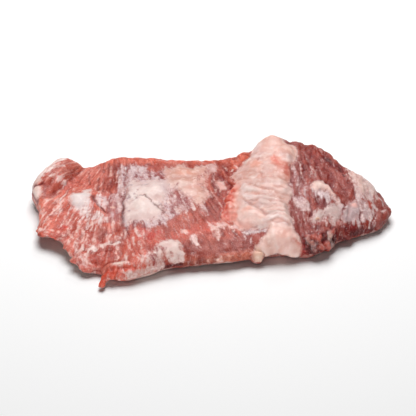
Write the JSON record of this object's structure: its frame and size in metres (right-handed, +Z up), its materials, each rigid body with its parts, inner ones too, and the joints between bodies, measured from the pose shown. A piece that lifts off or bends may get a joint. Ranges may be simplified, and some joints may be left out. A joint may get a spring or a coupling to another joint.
{
  "type": "pork secreto",
  "caption": "Raw pork secreto: a long, flat, fan-shaped muscle with marbled lean, thin white membranes and a thick strap of fat across it, lying flat.",
  "frame": {"origin": "middle of the bounding box, on the surface that the meat lies on", "axes": "+X along the piece from its ragged end to its pointed tip, +Y away from the viewer, +Z up"},
  "size_m": [0.282, 0.149, 0.0368],
  "materials": {
    "raw_pork": "satin"
  },
  "bodies": {
    "root": {"pork_secreto": "raw_pork"}
  },
  "joints": []
}
